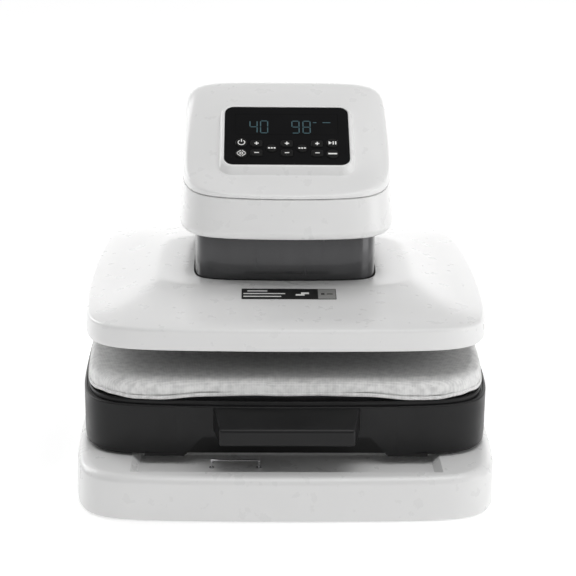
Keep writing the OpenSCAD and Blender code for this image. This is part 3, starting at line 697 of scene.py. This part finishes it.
def bar(cx, cy, w, h, angle=0.0):
    c, s = math.cos(angle), math.sin(angle)
    corners = [(-w / 2, -h / 2), (w / 2, -h / 2), (w / 2, h / 2), (-w / 2, h / 2)]
    return [(cx + x * c - y * s, cy + x * s + y * c) for x, y in corners]


def arc_band(cx, cy, r, width, start, end, steps=16):
    outer = [(r + width / 2, start + (end - start) * k / steps) for k in range(steps + 1)]
    inner = [(r - width / 2, t) for _, t in reversed(outer)]
    return [(cx + q * math.cos(t), cy + q * math.sin(t)) for q, t in outer + inner]


def segments(digit, cx, cy, w, h, thick):
    """Outlines of a seven-segment digit."""
    lit = {0: "abcdef", 4: "bcfg", 8: "abcdefg", 9: "abcdfg"}[digit]
    places = {"a": (0, h / 2, 0), "g": (0, 0, 0), "d": (0, -h / 2, 0), "b": (w / 2, h / 4, 1),
              "c": (w / 2, -h / 4, 1), "e": (-w / 2, -h / 4, 1), "f": (-w / 2, h / 4, 1)}
    marks = []
    for key in lit:
        x, y, upright = places[key]
        size = (thick, h / 2 - thick * 1.2) if upright else (w - thick * 1.2, thick)
        marks.append(bar(cx + x, cy + y, *size))
    return marks


def display_marks():
    height = 2.02 * MM
    marks = []
    for digit, x in ((4, -33.5), (0, -22.8), (9, 9.0), (8, 20.2)):
        marks += segments(digit, x * MM, 12.2 * MM, 7.2 * MM, 17.5 * MM, 1.1 * MM)
    marks += [bar(28.5 * MM, 18.9 * MM, 3.6 * MM, 1 * MM), bar(40.5 * MM, 19 * MM, 8 * MM, 1 * MM)]
    for k, outline in enumerate(marks):
        mark = flat_mark(f"display_segment_{k}", outline, height, DIGIT, 0.06)
        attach(mark, "frame")


def key_spot(column, row):
    return column * KEY_PITCH, KEY_ROW + row * MM


def power_icon(x, y):
    gap = math.radians(35)
    top = math.pi / 2
    return [arc_band(x, y, 2.7 * MM, 0.7 * MM, top + gap, top + 2 * math.pi - gap),
            bar(x, y + 2.3 * MM, 0.8 * MM, 3.0 * MM)]


def settings_icon(x, y):
    """Four chevron strokes round a ring, as a plain settings sign."""
    marks = [arc_band(x, y, 1.2 * MM, 0.6 * MM, 0, 2 * math.pi - 0.01)]
    for sx in (-1, 1):
        for sy in (-1, 1):
            lean = -sx * sy * math.radians(43)
            marks.append(bar(x + sx * 2.0 * MM, y + sy * 1.9 * MM, 4.2 * MM, 0.6 * MM, lean))
    return marks


def start_icon(x, y):
    wedge = [(x - 3.0 * MM, y - 1.9 * MM), (x - 0.4 * MM, y), (x - 3.0 * MM, y + 1.9 * MM)]
    return [wedge, bar(x + 0.7 * MM, y, 0.9 * MM, 3.6 * MM), bar(x + 2.7 * MM, y, 0.9 * MM, 3.6 * MM)]


def plus_icon(x, y):
    return [bar(x, y, 3.4 * MM, 0.9 * MM), bar(x, y + 1.1 * MM, 0.9 * MM, 1.3 * MM),
            bar(x, y - 1.1 * MM, 0.9 * MM, 1.3 * MM)]


def minus_icon(x, y):
    return [bar(x, y, 3.6 * MM, 0.8 * MM)]


def dots_icon(x, y):
    return [bar(x + k * 2.2 * MM, y, 1.5 * MM, 1.3 * MM) for k in (-1, 0, 1)]


def wide_bar_icon(x, y):
    return [bar(x, y, 7.2 * MM, 1.3 * MM)]


KEYS = {
    "power_button": (-3, 7.7, power_icon), "settings_button": (-3, -7.7, settings_icon),
    "temp_up_button": (-2, 6.7, plus_icon), "temp_down_button": (-2, -6.7, minus_icon),
    "mode_button": (-1, 0, dots_icon),
    "time_up_button": (0, 6.7, plus_icon), "time_down_button": (0, -6.7, minus_icon),
    "unit_button": (1, 0, dots_icon),
    "level_up_button": (2, 6.7, plus_icon), "level_down_button": (2, -6.7, minus_icon),
    "start_button": (3, 7.7, start_icon), "auto_button": (3, -7.7, wide_bar_icon),
}


def key_outline(name, grow):
    column, row, _ = KEYS[name]
    x, y = key_spot(column, row)
    if column in (-2, 0, 2):
        q = round_rect(12.4 * MM + 2 * grow, 9.6 * MM + 2 * grow, 2.8 * MM + grow, 10)
    else:
        r = (6.3 if column in (-3, 3) else 5.4) * MM + grow
        q = [(r * math.cos(t), r * math.sin(t)) for t in np.linspace(0, 2 * math.pi, 44, endpoint=False)]
    return np.array(q) + np.array([x, y])


def keys():
    """Soft-edged caps with a slightly dished top and a raised icon."""
    for name, (column, row, icon) in KEYS.items():
        body = name + "_key"
        levels = [(0, -3.4), (0, 2.3), (-0.25, 2.8), (-0.7, 3.1), (-1.3, 3.2), (-2.6, 3.05), (-3.8, 2.98)]
        rings = [np.column_stack([key_outline(name, g * MM), np.full(44, h * MM)]) for g, h in levels]
        cap = skin(name + "_cap", on_panel(rings), body, KEY_BLACK, sharp=50)
        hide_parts(name)
        x, y = key_spot(column, row)
        for k, strokes in enumerate(icon(x, y)):
            outline = [(x + ICON_SCALE * (px - x), y + ICON_SCALE * (py - y)) for px, py in strokes]
            mark = flat_mark(f"{name}_icon_{k}", outline, 3.0 * MM, ICON_INK_WITH_PAINTED_GLOW, 0.22)
            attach(mark, body)


# ---- label on the platen cover ----

def laid_on(name, outline, under, lift, mat, steps=24):
    """A thin strip whose outline is cut across in X and laid on the surface below it."""
    tree = BVHTree.FromObject(under, bpy.context.evaluated_depsgraph_get())
    xs, ys = [q[0] for q in outline], [q[1] for q in outline]
    left, right, low, high = min(xs), max(xs), min(ys), max(ys)
    verts, faces = [], []
    for level in (0, 0.25 * MM):
        for i in range(steps + 1):
            for j in range(7):
                x, y = left + (right - left) * i / steps, low + (high - low) * j / 6
                hit = tree.ray_cast(Vector((x, y, 1)), Vector((0, 0, -1)))[0]
                verts.append((x, y, hit.z + lift - level))
    row, layer = 7, 7 * (steps + 1)
    for i in range(steps):
        for j in range(6):
            a = i * row + j
            b = layer + a
            faces += [(a, a + row, a + row + 1, a + 1), (b, b + 1, b + row + 1, b + row)]
    rim = [(i * row, (i + 1) * row) for i in range(steps)]
    rim += [(steps * row + j, steps * row + j + 1) for j in range(6)]
    rim += [((i + 1) * row + 6, i * row + 6) for i in range(steps)] + [(j + 1, j) for j in range(6)]
    faces += [(a, layer + a, layer + b, b) for a, b in rim]
    return new_object(name, verts, faces, "press", mat)


def cover_label(cover):
    """A plain strip with a few bars in place of any wording."""
    lo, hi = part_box("label_plate")
    middle = (lo.y + hi.y) / 2
    strip = bar((lo.x + hi.x) / 2, middle, hi.x - lo.x, hi.y - lo.y)
    base = laid_on("label_base", strip, cover, 0.35 * MM, LABEL_BLACK)
    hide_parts("label_plate")
    end = hi.x - 9.4 * MM
    laid_on("label_grey_end", bar(end, middle, 17.6 * MM, 20.0 * MM), cover, 0.45 * MM, GREY_INK, 6)
    for k, (x, y, w) in enumerate([(-29, 6, 20), (-22, 0.5, 42), (-24, -5.5, 38)]):
        laid_on(f"label_bar_{k}", bar(x * MM, middle + y * MM, w * MM, 1.7 * MM), cover, 0.45 * MM, ICON_INK_WITH_PAINTED_GLOW, 12)
    for k, (x, y, w, h) in enumerate([(14, -2, 9, 3.0), (19, 1.5, 8, 3.4)]):
        laid_on(f"label_block_{k}", bar(x * MM, middle + y * MM, w * MM, h * MM), cover, 0.45 * MM, ICON_INK_WITH_PAINTED_GLOW, 6)
    laid_on("label_end_dot", bar(end - 4 * MM, middle, 3.4 * MM, 3.4 * MM), cover, 0.55 * MM, LABEL_BLACK, 4)
    laid_on("label_end_bar", bar(end + 3 * MM, middle, 6 * MM, 1.8 * MM), cover, 0.55 * MM, LABEL_BLACK, 4)


# ---- cloth covered pad ----

def hem_drop(x, y):
    """How far the cloth hangs below its highest point: most towards the ends of each side."""
    along = np.abs(np.where(np.abs(x) / PAD_HALF_W < np.abs(y) / PAD_HALF_D, x, y))
    return 5.5 * MM * np.exp(-((along - 138 * MM) / (48 * MM)) ** 2) + 1.2 * MM


def pad_outline(inset, scale=1.0):
    bow = (5 * MM * scale, 6 * MM * scale)
    return bowed((PAD_HALF_W - inset) * scale, (PAD_HALF_D - inset) * scale, bow, 8.2)


def puff(obj, voxel, pressure, cap):
    """Lets a closed cover swell as cloth from its own shape, moving no point further than cap."""
    grid = obj.modifiers.new("even_grid", "REMESH")
    grid.mode = "VOXEL"
    grid.voxel_size = voxel
    apply_modifiers(obj)
    cloth = obj.modifiers.new("cloth", "CLOTH")
    cloth.settings.quality = 5
    cloth.settings.mass = 0.2
    cloth.settings.tension_stiffness = 12
    cloth.settings.compression_stiffness = 12
    cloth.settings.bending_stiffness = 0.3
    cloth.settings.use_pressure = True
    cloth.settings.uniform_pressure_force = pressure
    cloth.settings.effector_weights.gravity = 0
    rest = [v.co.copy() for v in obj.data.vertices]
    for step in range(1, 21):
        bpy.context.scene.frame_set(step)
    apply_modifiers(obj)
    for vertex, start in zip(obj.data.vertices, rest):
        move = vertex.co - start
        outward = Vector((start.x, start.y - PLATEN_Y, 0)).normalized()
        move -= outward * min(0.0, move.dot(outward))
        if start.z < PAD_Z + 4 * MM:
            move.z = min(0.0, move.z)
        vertex.co = start + move
        if move.length > cap:
            vertex.co = start + move * (cap / move.length)
    bpy.context.scene.frame_set(1)


def crease(obj):
    """Shallow folds in the cloth, tighter towards its corners; none rises into the hot platen's way."""
    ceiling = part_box("pad_cover")[1].z - 0.1 * MM
    for vertex in obj.data.vertices:
        x, y, z = vertex.co
        corner = min(1.0, max(0.0, (abs(x) + abs(y - PLATEN_Y) - 250 * MM) / (110 * MM)))
        swing = math.atan2(y - PLATEN_Y, x)
        broad = smooth_noise.noise(Vector((x, y, z)) * 22)
        fine = smooth_noise.noise(Vector((swing * 34, z * 14, 2.5)))
        vertex.co.z += (0.55 * broad + 0.9 * corner * fine) * MM
        outward = Vector((x, y - PLATEN_Y, 0)).normalized()
        vertex.co += outward * (0.35 * broad + 0.9 * corner * fine) * MM
        over = vertex.co.z - (ceiling - FOLD_ROOM)
        if over > 0:
            vertex.co.z = ceiling - FOLD_ROOM * (1 - math.tanh(over / FOLD_ROOM))


def keep_outside(obj, inner, gap):
    """Lifts any point of a cover that lies in or too near the solid that it wraps."""
    points = [inner.matrix_world @ v.co for v in inner.data.vertices]
    tree = BVHTree.FromPolygons(points, [tuple(p.vertices) for p in inner.data.polygons])
    for vertex in obj.data.vertices:
        near, normal = tree.find_nearest(vertex.co)[:2]
        if (vertex.co - near).dot(normal) < gap:
            vertex.co = near + normal * gap


def pad_cover():
    """A fitted cloth over the foam, rounded over its top edge, that hangs unevenly round the board."""
    low, crown = PAD_Z - 2.4 * MM, PAD_TOP - 1.6 * MM
    profile = filleted([(9 * MM, low, 0), (0.4 * MM, low, 0.6 * MM), (0.2 * MM, PAD_Z + 4 * MM, 0),
                        (0.8 * MM, crown - 0.8 * MM, 6.0 * MM), (22 * MM, crown, 0)], 7)
    rings = [at(pad_outline(p[0]), PLATEN_Y, p[1]) for p in profile]
    for ring in rings:
        fall = np.clip(1 - (ring[:, 2] - PAD_Z) / (PAD_TOP - PAD_Z), 0, 1)
        ring[:, 2] -= hem_drop(ring[:, 0], ring[:, 1] - PLATEN_Y) * fall
    rings += [at(pad_outline(0, f), PLATEN_Y, crown) for f in (0.82, 0.6, 0.38, 0.15)]
    pad = skin("pad_cloth", rings, "drawer", CLOTH, sharp=180)
    puff(pad, CLOTH_VOXEL, CLOTH_PRESSURE, CLOTH_SWELL)
    crease(pad)
    smooth = pad.modifiers.new("smooth", "SUBSURF")
    smooth.levels = smooth.render_levels = 1
    apply_modifiers(pad)
    keep_outside(pad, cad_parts["pad_foam"], CLOTH_GAP)
    pad.data.shade_smooth()
    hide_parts("pad_cover")


def pad_hem():
    """The turned and stitched edge of the cloth, a soft roll that follows its lower line."""
    turns = np.linspace(0, 2 * math.pi, 10, endpoint=False)
    rings = []
    for t in turns:
        q = pad_outline(0.3 * MM - 1.1 * MM * math.cos(t))
        wave = 0.25 * MM * np.sin(np.arange(RING) * 0.9)
        z = PAD_Z - 0.9 * MM - hem_drop(q[:, 0], q[:, 1]) + 1.9 * MM * math.sin(t) + wave
        rings.append(at(q, PLATEN_Y, z))
    skin("pad_hem", rings, "drawer", CLOTH, closed=True, sharp=180)


# ---- CAD nodes that stay, with their own materials ----

KEPT = {
    BLACK: ["switch_body", "power_inlet", "display_module", "key_switches", "drawer_sensor", "thermostat",
            "heater_relay"],
    CHARCOAL: ["rear_panel"],
    PANEL_BLACK: ["panel_bezel", "display_lens"],
    WHITE: ["column_cover"],
    RUBBER: ["rubber_feet"],
    ZINC: ["base_plate", "outer_rails", "inner_rails", "motor_bracket"],
    BRIGHT: ["mid_rails", "latch_wire", "case_screws", "heating_element", "guide_rods", "lead_screw",
             "motor_pinion", "screw_bearings"],
    FRAME_STEEL: ["spine_frame", "head_arm", "carrier_plate", "press_post"],
    BRONZE: ["guide_bushes", "screw_nut"],
    MOTOR: ["gear_motor"],
    COATED: ["heating_plate"],
    MAT: ["insulation_mat"],
    BOARD: ["lower_board"],
    SILICONE: ["pad_foam"],
    BOARD_GREEN: ["control_board", "power_board"],
    NYLON: ["drive_gear"],
    RED: ["power_rocker"],
}


def dress_cad_nodes():
    for mat, names in KEPT.items():
        for name in names:
            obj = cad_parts[name]
            for slot in obj.material_slots:
                slot.material = mat
            if not obj.material_slots:
                obj.data.materials.append(mat)


# ---- stage ----

def camera():
    data = bpy.data.cameras.new("camera")
    data.lens = 105.1
    data.sensor_width = 36
    data.clip_start, data.clip_end = 0.05, 20
    cam = bpy.data.objects.new("camera", data)
    bpy.context.scene.collection.objects.link(cam)
    eye = Vector((-35.7, -1742.1, 684.8)) * MM
    look_at = Vector((4.5, -10.1, 158.3)) * MM
    aim = (look_at - eye).to_track_quat("-Z", "Y").to_matrix().to_4x4()
    roll = Matrix.Rotation(math.radians(0.64), 4, "Z")
    cam.matrix_world = Matrix.Translation(eye) @ aim @ roll
    bpy.context.scene.camera = cam


def area_light(name, place, aim, size, watts):
    data = bpy.data.lights.new(name, "AREA")
    data.shape = "RECTANGLE"
    data.size, data.size_y = size
    data.energy = watts
    lamp = bpy.data.objects.new(name, data)
    lamp.location = place
    lamp.rotation_euler = (Vector(aim) - Vector(place)).to_track_quat("-Z", "Y").to_euler()
    lamp.visible_camera = False
    bpy.context.scene.collection.objects.link(lamp)


def studio():
    """A pale floor that glows more away from the press, soft boxes, and a sky brighter behind it."""
    floor_mesh = bpy.data.meshes.new("floor")
    floor_mesh.from_pydata([(-6, -6, 0), (6, -6, 0), (6, 6, 0), (-6, 6, 0)], [], [(0, 1, 2, 3)])
    floor = bpy.data.objects.new("floor", floor_mesh)
    floor_mat = material("floor_paper", (0.93, 0.93, 0.93), 0.9)
    vary_color(floor_mat, noise(floor_mat, 3, 2), (0.92, 0.92, 0.92), (0.94, 0.94, 0.94))
    glow = floor_mat.node_tree.nodes["Principled BSDF"].inputs
    glow["Emission Color"].default_value = (1, 1, 1, 1)
    spread = node(floor_mat, "ShaderNodeVectorMath")
    spread.operation = "LENGTH"
    link(floor_mat, place_coords(floor_mat), spread.inputs[0])
    link(floor_mat, ramp(floor_mat, spread.outputs["Value"], 0.5, 2.0, 0.33, 0.62), glow["Emission Strength"])
    floor_mesh.materials.append(floor_mat)
    bpy.context.scene.collection.objects.link(floor)
    world = bpy.data.worlds.new("studio")
    world.use_nodes = True
    world.node_tree.nodes["Background"].inputs["Color"].default_value = (1, 1, 1, 1)
    sky = world.node_tree
    toward = sky.nodes.new("ShaderNodeTexCoord")
    lean = sky.nodes.new("ShaderNodeVectorMath")
    lean.operation = "DOT_PRODUCT"
    lean.inputs[1].default_value = (0.35, 0.9, 0.1)
    level = sky.nodes.new("ShaderNodeMapRange")
    level.inputs["From Min"].default_value = -1
    level.inputs["To Min"].default_value = 0.2
    level.inputs["To Max"].default_value = 0.55
    sky.links.new(toward.outputs["Generated"], lean.inputs[0])
    sky.links.new(lean.outputs["Value"], level.inputs["Value"])
    sky.links.new(level.outputs["Result"], sky.nodes["Background"].inputs["Strength"])
    bpy.context.scene.world = world
    area_light("left_box", (-1.4, 0.9, 1.0), (0, 0, 0.2), (0.9, 1.3), 11)
    area_light("right_box", (1.4, -0.6, 0.4), (0, 0, 0.12), (0.9, 1.0), 4.5)
    area_light("top_box", (0.3, -0.5, 1.8), (0, -0.05, 0.15), (1.6, 1.1), 12)
    area_light("back_wall", (0, 2.2, 0.55), (0, 0, 0.25), (4.0, 1.0), 14)
    bpy.context.scene.view_settings.view_transform = "Standard"


camera()
studio()
dress_cad_nodes()
base_shell()
drawer_tray()
drawer_ribs()
drawer_handle()
hot_cover = platen_cover()
neck_shroud()
head_skirt()
head_cover()
panel_surround()
display_marks()
keys()
cover_label(hot_cover)
pad_cover()
pad_hem()
